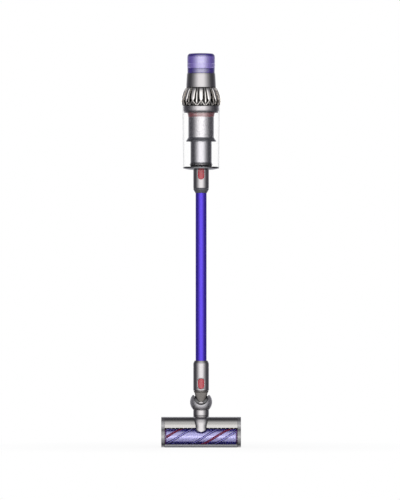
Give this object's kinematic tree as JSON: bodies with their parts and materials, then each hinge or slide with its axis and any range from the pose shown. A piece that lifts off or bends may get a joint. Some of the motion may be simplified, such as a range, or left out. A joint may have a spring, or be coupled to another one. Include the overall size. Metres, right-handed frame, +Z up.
{
  "type": "cordless stick vacuum",
  "caption": "Upright cordless stick vacuum with a clear cyclone bin, rear pistol grip and battery, purple wand, jointed neck and roller floor head.",
  "frame": {"origin": "on the floor under the wand axis, on the underside of the floor head's sole plate", "axes": "+Z up along the wand axis, -Y towards the front of the floor head, +X to the right seen from the front"},
  "size_m": [0.254, 0.2624, 1.2571],
  "materials": {
    "anodised_wand": "satin anodised purple",
    "silver_plastic": "gloss silver paint",
    "grey_plastic": "satin moulded",
    "dark_plastic": "satin moulded",
    "red_plastic": "gloss moulded",
    "clear_plastic": "clear polycarbonate",
    "purple_plastic": "gloss moulded",
    "filter_lilac": "translucent over pleated media",
    "nickel": "nickel-coloured coating on moulded plastic",
    "mesh_steel": "etched steel mesh",
    "red_seal": "moulded rubber",
    "black_rubber": "moulded rubber",
    "velvet": "soft nylon pile",
    "roller_core": "moulded",
    "steel": "ground",
    "motor_copper": "wound copper",
    "circuit_board": "solder mask",
    "cell_green": "shrink sleeve",
    "screen_glass": "dark glass"
  },
  "bodies": {
    "wand": {"wand_tube": "anodised_wand", "wand_shoulder": "dark_plastic", "lower_connector": "silver_plastic", "wand_cable_channel": "dark_plastic"},
    "lower_catch": {"lower_catch": "red_plastic"},
    "upper_catch": {"upper_catch": "red_plastic"},
    "neck": {"neck": "grey_plastic"},
    "yoke": {"ball_yoke": "grey_plastic", "pivot_pins": "steel", "swivel_collar": "silver_plastic"},
    "head": {"duct_nose": "silver_plastic", "head_housing": "silver_plastic", "end_cap_left": "dark_plastic", "end_cap_right": "dark_plastic", "roller_window": "clear_plastic", "front_lip": "grey_plastic", "sole_plate": "dark_plastic", "head_board": "circuit_board", "brush_motor": "steel", "roller_stub": "steel", "wheel_pins": "steel"},
    "roller": {"roller_bearing": "steel", "roller_core": "roller_core", "roller_velvet": "velvet"},
    "wheels": {"rear_wheels": "black_rubber"},
    "lid": {"lid": "dark_plastic", "lid_seal": "black_rubber", "lid_hinge_pin": "steel", "inlet_collar": "silver_plastic"},
    "bin": {"clear_bin": "clear_plastic", "bin_runner": "grey_plastic"},
    "machine": {"dust_tube_seal": "black_rubber", "dust_tube": "grey_plastic", "inlet_duct": "grey_plastic", "shroud_skirt": "dark_plastic", "shroud_mesh": "mesh_steel", "shroud_seal": "red_seal", "cyclone_collar": "silver_plastic", "cyclones": "nickel", "motor_housing": "silver_plastic", "motor_mount": "black_rubber", "motor_can": "steel", "motor_stator": "motor_copper", "motor_bearings": "steel", "control_board": "circuit_board", "filter_column": "dark_plastic", "screen_bezel": "dark_plastic", "screen_glass": "screen_glass", "grip": "grey_plastic", "trigger_pin": "steel"},
    "impeller": {"impeller": "dark_plastic"},
    "mode_button": {"mode_button": "grey_plastic"},
    "filter_ring": {"filter_ring": "purple_plastic"},
    "filter": {"filter_unit": "filter_lilac"},
    "bin_lever": {"bin_lever": "red_plastic"},
    "trigger": {"trigger": "red_plastic"},
    "battery": {"battery_case": "grey_plastic", "battery_cells": "cell_green", "charge_socket": "dark_plastic"},
    "battery_catch": {"battery_catch": "red_plastic"}
  },
  "joints": [
    {"name": "wand_release", "type": "slide", "parent": "wand", "child": "lid", "axis": [0, 0, 1], "range_m": [0, 0.036]},
    {"name": "upper_catch_press", "type": "slide", "parent": "lid", "child": "upper_catch", "axis": [0, 1, 0], "range_m": [0, 0.002]},
    {"name": "lid_hinge", "type": "hinge", "parent": "lid", "child": "bin", "pos_m": [0, 0.066, 0.8895], "axis": [-1, 0, 0], "range_deg": [0, 100]},
    {"name": "bin_slide", "type": "slide", "parent": "bin", "child": "machine", "axis": [0, 0, 1], "range_m": [0, 0.035]},
    {"name": "bin_lever_slide", "type": "slide", "parent": "machine", "child": "bin_lever", "axis": [0, 0, -1], "range_m": [0, 0.015]},
    {"name": "impeller_spin", "type": "hinge", "parent": "machine", "child": "impeller", "pos_m": [0, 0, 1.15], "axis": [0, 0, 1], "continuous": true},
    {"name": "filter_twist", "type": "hinge", "parent": "machine", "child": "filter_ring", "pos_m": [0, 0, 1.2], "axis": [0, 0, 1], "range_deg": [0, 20]},
    {"name": "filter_lift", "type": "slide", "parent": "filter_ring", "child": "filter", "axis": [0, 0, 1], "range_m": [0, 0.062]},
    {"name": "mode_button_press", "type": "slide", "parent": "machine", "child": "mode_button", "axis": [0, 0, -1], "range_m": [0, 0.001]},
    {"name": "trigger_pull", "type": "hinge", "parent": "machine", "child": "trigger", "pos_m": [0, 0.07077, 1.14662], "axis": [1, 0, 0], "range_deg": [0, 9]},
    {"name": "battery_slide", "type": "slide", "parent": "machine", "child": "battery", "axis": [0, 1, 0], "range_m": [0, 0.0115]},
    {"name": "battery_catch_press", "type": "slide", "parent": "battery", "child": "battery_catch", "axis": [0, 1, 0], "range_m": [0, 0.002]},
    {"name": "head_release", "type": "slide", "parent": "wand", "child": "neck", "axis": [0, 0, -1], "range_m": [0, 0.034]},
    {"name": "lower_catch_press", "type": "slide", "parent": "wand", "child": "lower_catch", "axis": [0, 1, 0], "range_m": [0, 0.002]},
    {"name": "neck_pitch", "type": "hinge", "parent": "neck", "child": "yoke", "pos_m": [0, 0, 0.144], "axis": [1, 0, 0], "range_deg": [0, 70]},
    {"name": "head_swivel", "type": "hinge", "parent": "yoke", "child": "head", "pos_m": [0, 0, 0.101], "axis": [0, 0, 1], "range_deg": [-35, 35]},
    {"name": "roller_spin", "type": "hinge", "parent": "head", "child": "roller", "pos_m": [0, -0.029, 0.034], "axis": [1, 0, 0], "continuous": true},
    {"name": "wheel_spin", "type": "hinge", "parent": "head", "child": "wheels", "pos_m": [0.07, 0.0424, 0.0093], "axis": [1, 0, 0], "continuous": true}
  ]
}
